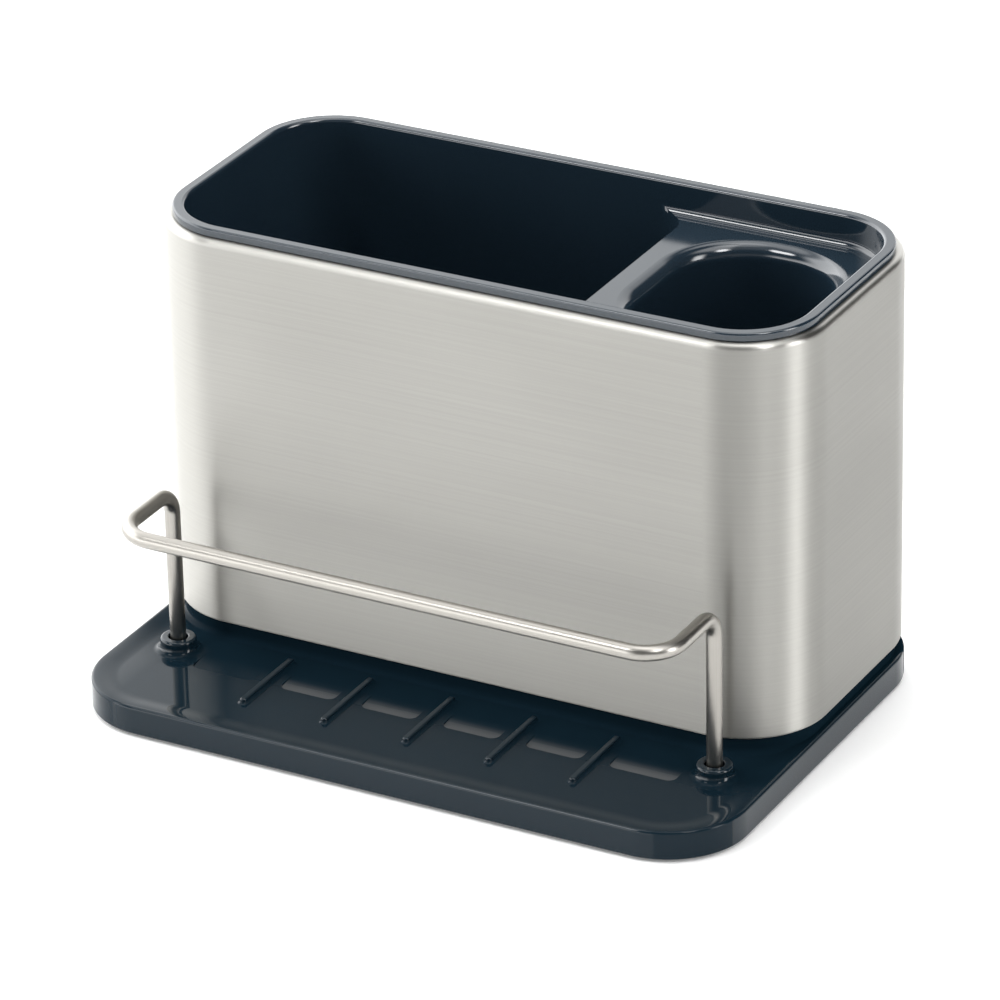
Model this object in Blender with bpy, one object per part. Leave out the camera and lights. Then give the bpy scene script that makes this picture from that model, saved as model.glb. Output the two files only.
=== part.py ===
"""Sink organizer: a drip tray base, a steel sleeve, a lift-out caddy and a wire rail.

Metres, +Z up. The rail stands at the front, towards -Y. The origin is on the worktop,
under the middle of the base.
"""

from math import cos, pi, radians, sin

import bmesh
import bpy
from mathutils import Matrix, Vector

# Clearances shared by the fits, how far a cut runs past what it cuts, and how
# far a raised shape starts under the surface that it stands on
SEAT_GAP = 0.0003
SIDE_CLEARANCE = 0.0004
OVERRUN = 0.002
ROOT_DEPTH = 0.0005

# Fineness of the round shapes
CORNER_STEPS = 9
EDGE_STEPS = 2
FILLET_STEPS = 3
SMALL_CORNER_STEPS = 4
BEND_STEPS = 7
WIRE_BEVEL_RESOLUTION = 4
SHARP_ANGLE = radians(38)
LEAST_RADIUS = 0.0002
SAME_POINT = 0.0000001

# Angles in degrees at which the rounded lips stop, short of the level surface
DECK_LIP_STOP = 97
DECK_LIP_BACK_STOP = 110
MOUTH_LIP_STOP = 100

# Base tray
BASE_WIDTH = 0.235
BASE_DEPTH = 0.1645
BASE_CORNER_RADIUS = 0.0275
TRAY_HEIGHT = 0.0098
TRAY_EDGE_RADIUS = 0.0010
TRAY_UNDER_EDGE_RADIUS = 0.0005
TRAY_DISH_DEPTH = 0.0008
TRAY_DISH_WIDTH = 0.0080
TRAY_WALL = 0.0024
TRAY_ROOF = 0.0034
HOLLOW_BACK_RADIUS = 0.0030

# Rubber feet under the base
FOOT_RADIUS = 0.0060
FOOT_DROP = 0.0012
FOOT_RECESS_DEPTH = 0.0012
FOOT_EDGE_RADIUS = 0.0005
FOOT_BOSS_WALL = 0.0018
FOOT_FROM_SIDE = 0.0225
FOOT_FROM_END = 0.0165

# Plinth, upstand and reservoir under the sleeve
PLINTH_HEIGHT = 0.0044
PLINTH_FRONT_SETBACK = 0.0012
PLINTH_SIDE_SETBACK = 0.0026
PLINTH_FOOT_FILLET = 0.0022
PLINTH_EDGE_RADIUS = 0.0004
UPSTAND_HEIGHT = 0.0115
UPSTAND_WALL = 0.0022
UPSTAND_EDGE_RADIUS = 0.0005
RESERVOIR_FLOOR = 0.0028
RESERVOIR_FILLET = 0.0030

# Scoops beside the ribs: deepest at their front edge, they rise in a curve until the
# floor comes out of the flat
SCOOP_FROM_FRONT = 0.0338
SCOOP_LENGTH = 0.0124
SCOOP_DEPTH = 0.0008
SCOOP_END_RISE = 0.00006
SCOOP_RIB_MARGIN = 0.0050
OUTER_SCOOP_WIDTH = 0.0232
SCOOP_FRONT_RADIUS = 0.0030

# Raised ribs on the front tray
RIB_COUNT = 5
RIB_SPACING = 0.030
RIB_FROM_FRONT = 0.0190
RIB_LENGTH = 0.0320
RIB_WIDTH = 0.0023
RIB_HEIGHT = 0.0017
RIB_FOOT_FILLET = 0.0010
RIB_TOP_RADIUS = 0.0006
RIB_BACK_RADIUS = 0.0005

# Sockets that hold the rail
SOCKET_HEIGHT = 0.0046
SOCKET_WALL = 0.0028
SOCKET_FOOT_FILLET = 0.0034
SOCKET_TOP_RADIUS = 0.0009
SOCKET_MOUTH_BEVEL = 0.0005
SOCKET_BORE_CLEARANCE = 0.0006
SOCKET_DEPTH = 0.0098
SOCKET_BOSS_WALL = 0.0022

# Wire rail
WIRE_RADIUS = 0.0026
RAIL_SPAN = 0.1965
RAIL_POST_FROM_FRONT = 0.0434
RAIL_BAR_FROM_FRONT = 0.0086
RAIL_HEIGHT = 0.057
RAIL_POST_BEND = 0.0080
RAIL_CORNER_BEND = 0.0120

# Steel sleeve
SLEEVE_DEPTH = 0.1080
SLEEVE_HEIGHT = 0.1374
SLEEVE_SETBACK = 0.0003
SLEEVE_CORNER_RADIUS = 0.0290
SLEEVE_SHEET = 0.0008
SLEEVE_TOP_BEND = 0.0024
SLEEVE_TOP_LIP = 0.0050
SLEEVE_FOOT_BEND = 0.0012
SLEEVE_FOOT_LIP = 0.0045

# Lift-out caddy
CADDY_RIM_SETBACK = 0.0028
CADDY_RIM_HEIGHT = 0.0026
CADDY_RIM_EDGE_RADIUS = 0.0008
CADDY_MOUTH_RADIUS = 0.0012
CADDY_WALL = 0.0016
CADDY_DEPTH = 0.1200
CADDY_DRAFT = 0.0015
CADDY_STEP = 0.0002
CADDY_FLOOR = 0.0020
CADDY_FLOOR_FILLET = 0.0060
DECK_DROP = 0.0110
DECK_THICKNESS = 0.0020
DECK_FILLET = 0.0025
MAIN_WIDTH = 0.1437
MAIN_PARTITION_RADIUS = 0.0110
WELL_WIDTH = 0.0540
WELL_DEPTH = 0.0720
WELL_CORNER_RADIUS = 0.0250
WELL_LIP_RADIUS = 0.0052
WELL_DRAFT = 0.0010
CADDY_DRAIN_WIDTH = 0.0036
CADDY_DRAIN_LENGTH = 0.0180
CADDY_DRAIN_SPACING = 0.0300
MAIN_DRAIN_COUNT = 4
WELL_DRAIN_COUNT = 1

# Heights and places that follow from the sizes above
TRAY_TOP = FOOT_DROP + TRAY_HEIGHT
TRAY_FLAT = TRAY_TOP - TRAY_DISH_DEPTH
BASE_FRONT = -BASE_DEPTH / 2
BASE_BACK = BASE_DEPTH / 2
SHOULDER = TRAY_TOP + PLINTH_HEIGHT
UPSTAND_TOP = SHOULDER + UPSTAND_HEIGHT
RESERVOIR_BOTTOM = FOOT_DROP + RESERVOIR_FLOOR
SLEEVE_BOTTOM = SHOULDER + SEAT_GAP
SLEEVE_TOP = SLEEVE_BOTTOM + SLEEVE_HEIGHT
SLEEVE_BACK = BASE_BACK - SLEEVE_SETBACK
SLEEVE_FRONT = SLEEVE_BACK - SLEEVE_DEPTH
SLEEVE_CENTRE_Y = (SLEEVE_FRONT + SLEEVE_BACK) / 2
UPSTAND_INSET = SLEEVE_FOOT_LIP + SIDE_CLEARANCE
RESERVOIR_INSET = UPSTAND_INSET + UPSTAND_WALL
RIM_BOTTOM = SLEEVE_TOP + SEAT_GAP
RIM_TOP = RIM_BOTTOM + CADDY_RIM_HEIGHT
DECK_TOP = RIM_TOP - DECK_DROP
DECK_BOTTOM = DECK_TOP - DECK_THICKNESS
CADDY_OUTER_INSET = SLEEVE_TOP_LIP + SIDE_CLEARANCE
CADDY_INNER_INSET = CADDY_OUTER_INSET + CADDY_WALL
CADDY_BOTTOM = RIM_TOP - CADDY_DEPTH
CADDY_FLOOR_TOP = CADDY_BOTTOM + CADDY_FLOOR
SOCKET_TOP = TRAY_FLAT + SOCKET_HEIGHT
SOCKET_BORE_RADIUS = WIRE_RADIUS + SOCKET_BORE_CLEARANCE
SOCKET_BORE_BOTTOM = SOCKET_TOP - SOCKET_DEPTH
RAIL_POST_Y = BASE_FRONT + RAIL_POST_FROM_FRONT
RAIL_BAR_Y = BASE_FRONT + RAIL_BAR_FROM_FRONT
RAIL_BOTTOM = SOCKET_BORE_BOTTOM + SEAT_GAP
RAIL_TOP = TRAY_TOP + RAIL_HEIGHT
HOLLOW_TOP = TRAY_FLAT - SCOOP_DEPTH - TRAY_ROOF
HOLLOW_BACK = SLEEVE_FRONT + RESERVOIR_INSET - TRAY_WALL
RIB_XS = [RIB_SPACING * (index - (RIB_COUNT - 1) / 2) for index in range(RIB_COUNT)]


class Outline:
    """A rectangle with rounded corners, seen from above, that can grow or shrink."""

    def __init__(self, left, right, front, back, radii, steps=CORNER_STEPS):
        """The radii are those of the front right, back right, back left and front left corners."""
        self.left, self.right = left, right
        self.front, self.back = front, back
        self.radii = radii
        self.steps = steps

    def corner_points(self, amount):
        corners = (
            (self.right + amount, self.front - amount, -1, 1, -90),
            (self.right + amount, self.back + amount, -1, -1, 0),
            (self.left - amount, self.back + amount, 1, -1, 90),
            (self.left - amount, self.front - amount, 1, 1, 180),
        )
        points = []
        for (x, y, towards_x, towards_y, start), radius in zip(corners, self.radii):
            reach = max(radius + amount, LEAST_RADIUS)
            for step in range(self.steps + 1):
                angle = radians(start + 90 * step / self.steps)
                across = x + towards_x * reach + reach * cos(angle)
                along = y + towards_y * reach + reach * sin(angle)
                points.append(Vector((across, along)))
        return points

    def points(self, amount=0.0):
        """The grown outline, without the doubled points where two arcs meet."""
        plain = self.corner_points(0.0)
        grown = self.corner_points(amount)
        previous = plain[-1:] + plain[:-1]
        return [
            point for point, here, before in zip(grown, plain, previous)
            if (here - before).length > SAME_POINT
        ]

    def shrunk(self, amount):
        """The same outline moved inwards on every side."""
        radii = [max(radius - amount, LEAST_RADIUS) for radius in self.radii]
        return Outline(self.left + amount, self.right - amount, self.front + amount,
                       self.back - amount, radii, self.steps)


def disc(x, y, radius, steps=SMALL_CORNER_STEPS):
    """A circle as an outline whose four corners meet."""
    return Outline(x - radius, x + radius, y - radius, y + radius, [radius] * 4, steps)


def arc(centre, height, radius, start, stop, steps=EDGE_STEPS):
    """Profile points on part of a circle: offset from the outline, and height."""
    points = []
    for step in range(steps + 1):
        angle = radians(start + (stop - start) * step / steps)
        points.append((centre + radius * cos(angle), height + radius * sin(angle)))
    return points


def stack(outline, profile):
    """One ring of points for each offset and height of a profile."""
    return [[(x, y, height) for x, y in outline.points(offset)] for offset, height in profile]


def add_loft(mesh_data, rings, closed=False):
    """Skins the rings, which have one point count, into a closed body."""
    loops = [[mesh_data.verts.new(point) for point in ring] for ring in rings]
    pairs = list(zip(loops, loops[1:]))
    faces = []
    if closed:
        pairs.append((loops[-1], loops[0]))
    else:
        faces.append(mesh_data.faces.new(loops[0]))
        faces.append(mesh_data.faces.new(loops[-1]))
    for low, high in pairs:
        for index in range(len(low)):
            following = (index + 1) % len(low)
            corners = (low[index], low[following], high[following], high[index])
            faces.append(mesh_data.faces.new(corners))
    bmesh.ops.recalc_face_normals(mesh_data, faces=faces)


def finish_mesh(name, mesh_data):
    """Turns the built bodies into an object in the scene."""
    mesh = bpy.data.meshes.new(name)
    mesh_data.to_mesh(mesh)
    mesh_data.free()
    mesh.shade_smooth()
    mesh.set_sharp_from_angle(angle=SHARP_ANGLE)
    item = bpy.data.objects.new(name, mesh)
    bpy.context.scene.collection.objects.link(item)
    return item


def lofted(name, rings, closed=False):
    mesh_data = bmesh.new()
    add_loft(mesh_data, rings, closed)
    return finish_mesh(name, mesh_data)


def lofted_set(name, bodies):
    """Several bodies that don't touch, kept as one guide."""
    mesh_data = bmesh.new()
    for rings in bodies:
        add_loft(mesh_data, rings)
    return finish_mesh(name, mesh_data)


def combine(target, guide, operation):
    """Joins or cuts a guide solid, which stays in the file out of the render."""
    guide.hide_render = True
    guide.display_type = "WIRE"
    modifier = target.modifiers.new(guide.name, "BOOLEAN")
    modifier.operation = operation
    modifier.solver = "EXACT"
    modifier.object = guide


def set_origin(item, point):
    """Moves an object's origin without moving its mesh."""
    offset = Vector(point)
    item.data.transform(Matrix.Translation(-offset))
    item.location = offset


def material(name, colour, roughness, metallic=0.0):
    finish = bpy.data.materials.new(name)
    finish.use_nodes = True
    shader = finish.node_tree.nodes["Principled BSDF"]
    shader.inputs["Base Color"].default_value = (*colour, 1.0)
    shader.inputs["Roughness"].default_value = roughness
    shader.inputs["Metallic"].default_value = metallic
    return finish


def base_outline():
    half = BASE_WIDTH / 2
    return Outline(-half, half, BASE_FRONT, BASE_BACK, [BASE_CORNER_RADIUS] * 4)


def sleeve_outline():
    half = BASE_WIDTH / 2 - SLEEVE_SETBACK
    return Outline(-half, half, SLEEVE_FRONT, SLEEVE_BACK, [SLEEVE_CORNER_RADIUS] * 4)


def plinth_outline():
    sleeve = sleeve_outline()
    side = PLINTH_SIDE_SETBACK
    return Outline(sleeve.left + side, sleeve.right - side, sleeve.front + PLINTH_FRONT_SETBACK,
                   sleeve.back - side, [SLEEVE_CORNER_RADIUS - side] * 4)


def foot_places():
    x = BASE_WIDTH / 2 - FOOT_FROM_SIDE
    y = BASE_DEPTH / 2 - FOOT_FROM_END
    return {
        "front_left": (-x, -y),
        "front_right": (x, -y),
        "back_left": (-x, y),
        "back_right": (x, y),
    }


def post_places():
    return [(-RAIL_SPAN / 2, RAIL_POST_Y), (RAIL_SPAN / 2, RAIL_POST_Y)]


def tray_slab():
    """The outer skin of the base, with its rounded rim and shallow dish."""
    under = TRAY_UNDER_EDGE_RADIUS
    edge = TRAY_EDGE_RADIUS
    profile = arc(-under, FOOT_DROP + under, under, -90, 0, EDGE_STEPS)
    profile += arc(-edge, TRAY_TOP - edge, edge, 0, 90, EDGE_STEPS)
    for step in range(1, FILLET_STEPS + 1):
        share = step / FILLET_STEPS
        fall = TRAY_DISH_DEPTH * (1 - cos(pi * share)) / 2
        profile.append((-edge - TRAY_DISH_WIDTH * share, TRAY_TOP - fall))
    return lofted("base_tray", stack(base_outline(), profile))


def plinth():
    """The shoulder that carries the sleeve, with the upstand that keeps it in place."""
    fillet = PLINTH_FOOT_FILLET
    edge = PLINTH_EDGE_RADIUS
    foot = [(fillet, TRAY_FLAT - ROOT_DEPTH)]
    foot += arc(fillet, TRAY_FLAT + fillet, fillet, 270, 180, FILLET_STEPS)
    foot += arc(-edge, SHOULDER - edge, edge, 0, 90, EDGE_STEPS)
    top_edge = UPSTAND_EDGE_RADIUS
    wall = [(0.0, SHOULDER)]
    wall += arc(-top_edge, UPSTAND_TOP - top_edge, top_edge, 0, 90, EDGE_STEPS)
    inner = sleeve_outline().shrunk(UPSTAND_INSET)
    return lofted("plinth guide", stack(plinth_outline(), foot) + stack(inner, wall))


def reservoir():
    fillet = RESERVOIR_FILLET
    profile = arc(-fillet, RESERVOIR_BOTTOM + fillet, fillet, -90, 0, FILLET_STEPS)
    profile.append((0.0, UPSTAND_TOP + OVERRUN))
    return lofted("reservoir guide", stack(sleeve_outline().shrunk(RESERVOIR_INSET), profile))


def front_hollow():
    """The open space under the front tray."""
    half = BASE_WIDTH / 2 - TRAY_WALL
    front = BASE_CORNER_RADIUS - TRAY_WALL
    back = HOLLOW_BACK_RADIUS
    outline = Outline(-half, half, BASE_FRONT + TRAY_WALL, HOLLOW_BACK, [front, back, back, front])
    profile = [(0.0, FOOT_DROP - OVERRUN), (0.0, HOLLOW_TOP)]
    return lofted("front hollow guide", stack(outline, profile))


def ribs():
    front = BASE_FRONT + RIB_FROM_FRONT
    half = RIB_WIDTH / 2
    rear = RIB_BACK_RADIUS
    fillet = RIB_FOOT_FILLET
    top = RIB_TOP_RADIUS
    profile = [(fillet, TRAY_FLAT - ROOT_DEPTH)]
    profile += arc(fillet, TRAY_FLAT + fillet, fillet, 270, 180, EDGE_STEPS)
    profile += arc(-top, TRAY_FLAT + RIB_HEIGHT - top, top, 0, 90, EDGE_STEPS)
    back = front + RIB_LENGTH
    bodies = []
    for x in RIB_XS:
        radii = [half, rear, rear, half]
        outline = Outline(x - half, x + half, front, back, radii, SMALL_CORNER_STEPS)
        bodies.append(stack(outline, profile))
    return lofted_set("rib guide", bodies)


def at_posts(radius, profile):
    """A round body on each post's line."""
    return [stack(disc(x, y, radius), profile) for x, y in post_places()]


def socket_collars():
    fillet = SOCKET_FOOT_FILLET
    top = SOCKET_TOP_RADIUS
    profile = [(fillet, TRAY_FLAT - ROOT_DEPTH)]
    profile += arc(fillet, TRAY_FLAT + fillet, fillet, 270, 180, FILLET_STEPS)
    profile += arc(-top, SOCKET_TOP - top, top, 0, 90, EDGE_STEPS)
    return lofted_set("socket collar guide", at_posts(SOCKET_BORE_RADIUS + SOCKET_WALL, profile))


def socket_bosses():
    profile = [(0.0, SOCKET_BORE_BOTTOM - SOCKET_BOSS_WALL), (0.0, HOLLOW_TOP + TRAY_ROOF / 2)]
    return lofted_set("socket boss guide", at_posts(SOCKET_BORE_RADIUS + SOCKET_BOSS_WALL, profile))


def socket_bores():
    bevel = SOCKET_MOUTH_BEVEL
    profile = [(0.0, SOCKET_BORE_BOTTOM), (0.0, SOCKET_TOP - bevel)]
    profile += [(bevel, SOCKET_TOP), (bevel + bevel, SOCKET_TOP + bevel)]
    return lofted_set("socket bore guide", at_posts(SOCKET_BORE_RADIUS, profile))


def foot_bosses():
    """Pads in the front hollow that carry the two front feet."""
    radius = FOOT_RADIUS + SEAT_GAP + FOOT_BOSS_WALL
    profile = [(0.0, FOOT_DROP), (0.0, HOLLOW_TOP + TRAY_ROOF / 2)]
    places = foot_places()
    fronts = (places["front_left"], places["front_right"])
    return lofted_set("foot boss guide", [stack(disc(x, y, radius), profile) for x, y in fronts])


def foot_recesses():
    profile = [(0.0, FOOT_DROP - OVERRUN), (0.0, FOOT_DROP + FOOT_RECESS_DEPTH)]
    radius = FOOT_RADIUS + SEAT_GAP
    places = foot_places().values()
    return lofted_set("foot recess guide", [stack(disc(x, y, radius), profile) for x, y in places])


def scoop_spans():
    """Left and right edge of each scoop: one between each two ribs, and one outside each end rib."""
    rights = [x - SCOOP_RIB_MARGIN for x in RIB_XS[1:]]
    lefts = [x + SCOOP_RIB_MARGIN for x in RIB_XS[:-1]]
    outer = RIB_XS[-1] + SCOOP_RIB_MARGIN
    spans = list(zip(lefts, rights))
    return spans + [(outer, outer + OUTER_SCOOP_WIDTH), (-outer - OUTER_SCOOP_WIDTH, -outer)]


def scoop_floor(along):
    """Height of a scoop's floor at a distance behind its front edge."""
    rest_share = 1 - sin(pi / 2 * along / SCOOP_LENGTH)
    return TRAY_FLAT + SCOOP_END_RISE - (SCOOP_DEPTH + SCOOP_END_RISE) * rest_share


def scoops():
    """Each is a row of upright cross-sections, from its rounded front corners to its end."""
    radius = SCOOP_FRONT_RADIUS
    straight = SCOOP_LENGTH - radius
    places = arc(radius, radius, radius, 270, 180, SMALL_CORNER_STEPS)
    for step in range(1, FILLET_STEPS + 1):
        places.append((0.0, radius + straight * step / FILLET_STEPS))
    top = TRAY_FLAT + OVERRUN
    bodies = []
    for left, right in scoop_spans():
        rings = []
        for inset, along in places:
            y = BASE_FRONT + SCOOP_FROM_FRONT + along
            floor = scoop_floor(along)
            rings.append([(left + inset, y, floor), (right - inset, y, floor),
                          (right - inset, y, top), (left + inset, y, top)])
        bodies.append(rings)
    return lofted_set("scoop guide", bodies)


def make_base(finish):
    tray = tray_slab()
    combine(tray, plinth(), "UNION")
    combine(tray, ribs(), "UNION")
    combine(tray, socket_collars(), "UNION")
    combine(tray, front_hollow(), "DIFFERENCE")
    combine(tray, foot_bosses(), "UNION")
    combine(tray, socket_bosses(), "UNION")
    combine(tray, reservoir(), "DIFFERENCE")
    combine(tray, scoops(), "DIFFERENCE")
    combine(tray, foot_recesses(), "DIFFERENCE")
    combine(tray, socket_bores(), "DIFFERENCE")
    tray.data.materials.append(finish)


def make_feet(finish):
    edge = FOOT_EDGE_RADIUS
    profile = arc(-edge, edge, edge, -90, 0, EDGE_STEPS)
    profile.append((0.0, FOOT_DROP + FOOT_RECESS_DEPTH - SEAT_GAP))
    for name, (x, y) in foot_places().items():
        foot = lofted("foot_" + name, stack(disc(x, y, FOOT_RADIUS), profile))
        set_origin(foot, (x, y, 0.0))
        foot.data.materials.append(finish)


def make_sleeve(finish):
    """Thin sheet bent into a rounded loop, turned in along its top and its foot."""
    sheet = SLEEVE_SHEET
    top = SLEEVE_TOP_BEND
    foot = SLEEVE_FOOT_BEND
    outside = [(-SLEEVE_FOOT_LIP, SLEEVE_BOTTOM)]
    outside += arc(-foot, SLEEVE_BOTTOM + foot, foot, -90, 0, EDGE_STEPS)
    outside += arc(-top, SLEEVE_TOP - top, top, 0, 90, FILLET_STEPS)
    outside.append((-SLEEVE_TOP_LIP, SLEEVE_TOP))
    inside = [(-SLEEVE_TOP_LIP, SLEEVE_TOP - sheet)]
    inside += arc(-top, SLEEVE_TOP - top, top - sheet, 90, 0, FILLET_STEPS)
    inside += arc(-foot, SLEEVE_BOTTOM + foot, foot - sheet, 0, -90, EDGE_STEPS)
    inside.append((-SLEEVE_FOOT_LIP, SLEEVE_BOTTOM + sheet))
    sleeve = lofted("steel_sleeve", stack(sleeve_outline(), outside + inside), closed=True)
    set_origin(sleeve, (0.0, SLEEVE_CENTRE_Y, SLEEVE_BOTTOM))
    sleeve.data.materials.append(finish)


def main_outline():
    """Inside of the main compartment at its mouth."""
    mouth = sleeve_outline().shrunk(CADDY_INNER_INSET + CADDY_STEP)
    _, _, back_left, front_left = mouth.radii
    side = MAIN_PARTITION_RADIUS
    return Outline(mouth.left, mouth.left + MAIN_WIDTH, mouth.front, mouth.back,
                   [side, side, back_left, front_left])


def well_outline():
    """Inside of the bottle well, in the middle of the deck."""
    mouth = sleeve_outline().shrunk(CADDY_INNER_INSET)
    middle = (main_outline().right + mouth.right) / 2
    across = WELL_WIDTH / 2
    along = WELL_DEPTH / 2
    return Outline(middle - across, middle + across, SLEEVE_CENTRE_Y - along,
                   SLEEVE_CENTRE_Y + along, [WELL_CORNER_RADIUS] * 4)


def caddy_rim():
    """The flange that hangs on the sleeve, over the band that drops to the deck."""
    flange = CADDY_OUTER_INSET - CADDY_RIM_SETBACK
    edge = CADDY_RIM_EDGE_RADIUS
    profile = [(0.0, DECK_BOTTOM), (0.0, RIM_BOTTOM), (flange, RIM_BOTTOM)]
    profile += arc(flange - edge, RIM_TOP - edge, edge, 0, 90, EDGE_STEPS)
    return lofted("caddy_liner", stack(sleeve_outline().shrunk(CADDY_OUTER_INSET), profile))


def tub_profile(wall, draft, bottom, top):
    """A drafted wall with a rounded floor edge: the offsets are from the inside of the mouth."""
    fillet = CADDY_FLOOR_FILLET + wall
    profile = arc(wall - draft - fillet, bottom + fillet, fillet, -90, 0, FILLET_STEPS)
    profile.append((wall, top))
    return profile


def main_tub():
    profile = tub_profile(CADDY_WALL, CADDY_DRAFT, CADDY_BOTTOM, DECK_BOTTOM + DECK_THICKNESS / 2)
    return lofted("main tub guide", stack(main_outline(), profile))


def main_cavity():
    profile = tub_profile(0.0, CADDY_DRAFT, CADDY_FLOOR_TOP, DECK_BOTTOM)
    profile.append((0.0, RIM_TOP + OVERRUN))
    return lofted("main cavity guide", stack(main_outline(), profile))


def well_tub():
    """The well's wall, flared under the deck to back the rounded lip."""
    lip = WELL_LIP_RADIUS
    profile = tub_profile(CADDY_WALL, WELL_DRAFT, CADDY_BOTTOM, DECK_TOP - lip - DECK_THICKNESS)
    backing = lip - CADDY_WALL
    profile += arc(lip, DECK_TOP - lip, backing, 180, DECK_LIP_BACK_STOP, FILLET_STEPS)
    profile.append((profile[-1][0], DECK_BOTTOM + DECK_THICKNESS / 2))
    return lofted("well tub guide", stack(well_outline(), profile))


def well_cavity():
    """The well's inside, opening into the deck with a rounded lip."""
    lip = WELL_LIP_RADIUS
    profile = tub_profile(0.0, WELL_DRAFT, CADDY_FLOOR_TOP, DECK_TOP - lip - DECK_THICKNESS)
    profile += arc(lip, DECK_TOP - lip, lip, 180, DECK_LIP_STOP, FILLET_STEPS + FILLET_STEPS)
    profile.append((profile[-1][0], DECK_TOP + OVERRUN))
    return lofted("well cavity guide", stack(well_outline(), profile))


def deck_recess():
    """The open space above the deck, with its rounded foot and mouth."""
    fillet = DECK_FILLET
    mouth = CADDY_MOUTH_RADIUS
    profile = arc(-fillet, DECK_TOP + fillet, fillet, -90, 0, FILLET_STEPS)
    profile += arc(mouth, RIM_TOP - mouth, mouth, 180, MOUTH_LIP_STOP, EDGE_STEPS)
    profile.append((profile[-1][0], RIM_TOP + OVERRUN))
    return lofted("deck recess guide", stack(sleeve_outline().shrunk(CADDY_INNER_INSET), profile))


def caddy_drains():
    """Rows of narrow slots through the floors of both compartments."""
    half_width = CADDY_DRAIN_WIDTH / 2
    half_length = CADDY_DRAIN_LENGTH / 2
    profile = [(0.0, CADDY_BOTTOM - OVERRUN), (0.0, CADDY_FLOOR_TOP + OVERRUN)]
    bodies = []
    for space, count in ((main_outline(), MAIN_DRAIN_COUNT), (well_outline(), WELL_DRAIN_COUNT)):
        middle = (space.left + space.right) / 2
        for index in range(count):
            x = middle + CADDY_DRAIN_SPACING * (index - (count - 1) / 2)
            for side in (-1, 1):
                y = SLEEVE_CENTRE_Y + side * CADDY_DRAIN_LENGTH
                outline = Outline(x - half_width, x + half_width, y - half_length, y + half_length,
                                  [half_width] * 4, EDGE_STEPS)
                bodies.append(stack(outline, profile))
    return lofted_set("caddy drain guide", bodies)


def make_caddy(finish):
    caddy = caddy_rim()
    combine(caddy, main_tub(), "UNION")
    combine(caddy, well_tub(), "UNION")
    combine(caddy, deck_recess(), "DIFFERENCE")
    combine(caddy, main_cavity(), "DIFFERENCE")
    combine(caddy, well_cavity(), "DIFFERENCE")
    combine(caddy, caddy_drains(), "DIFFERENCE")
    set_origin(caddy, (0.0, SLEEVE_CENTRE_Y, RIM_BOTTOM))
    caddy.data.materials.append(finish)


def rail_path():
    """The wire's middle line: posts, arms and front bar, joined by quarter-circle bends."""
    half = RAIL_SPAN / 2
    corners = [
        (-half, RAIL_POST_Y, RAIL_BOTTOM),
        (-half, RAIL_POST_Y, RAIL_TOP),
        (-half, RAIL_BAR_Y, RAIL_TOP),
        (half, RAIL_BAR_Y, RAIL_TOP),
        (half, RAIL_POST_Y, RAIL_TOP),
        (half, RAIL_POST_Y, RAIL_BOTTOM),
    ]
    corners = [Vector(corner) for corner in corners]
    bends = [RAIL_POST_BEND, RAIL_CORNER_BEND, RAIL_CORNER_BEND, RAIL_POST_BEND]
    path = [corners[0]]
    for before, corner, after, bend in zip(corners, corners[1:], corners[2:], bends):
        back = (before - corner).normalized() * bend
        ahead = (after - corner).normalized() * bend
        for step in range(BEND_STEPS + 1):
            angle = pi / 2 * step / BEND_STEPS
            path.append(corner + back * (1 - sin(angle)) + ahead * (1 - cos(angle)))
    path.append(corners[-1])
    return path


def make_rail(finish):
    origin = Vector((0.0, RAIL_POST_Y, RAIL_BOTTOM))
    curve = bpy.data.curves.new("wire_rail", "CURVE")
    curve.dimensions = "3D"
    curve.bevel_depth = WIRE_RADIUS
    curve.bevel_resolution = WIRE_BEVEL_RESOLUTION
    curve.use_fill_caps = True
    path = rail_path()
    spline = curve.splines.new("POLY")
    spline.points.add(len(path) - 1)
    for target, point in zip(spline.points, path):
        target.co = (*(point - origin), 1.0)
    rail = bpy.data.objects.new("wire_rail", curve)
    rail.location = origin
    bpy.context.scene.collection.objects.link(rail)
    curve.materials.append(finish)


def clear_scene():
    for item in list(bpy.data.objects):
        bpy.data.objects.remove(item)


def main():
    clear_scene()
    plastic = material("slate_plastic", (0.020, 0.032, 0.045), 0.16)
    dark_plastic = material("dark_plastic", (0.014, 0.024, 0.036), 0.18)
    steel = material("brushed_sheet_steel", (0.62, 0.61, 0.58), 0.32, 1.0)
    wire = material("wire_steel", (0.60, 0.58, 0.54), 0.25, 1.0)
    rubber = material("foot_rubber", (0.02, 0.02, 0.02), 0.8)
    make_base(plastic)
    make_feet(rubber)
    make_sleeve(steel)
    make_caddy(dark_plastic)
    make_rail(wire)


main()
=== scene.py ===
"""Looks of a sink organizer: a drip tray base, a brushed steel sleeve, a lift-out
caddy and a wire rail, under soft studio light.

Metres, +Z up. The rail stands at the front, towards -Y. The main sizes come from the
frame's nodes, and the finer ones are named below.
"""

from math import cos, pi, radians, sin

import bmesh
import bpy
from mathutils import Matrix, Vector


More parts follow.
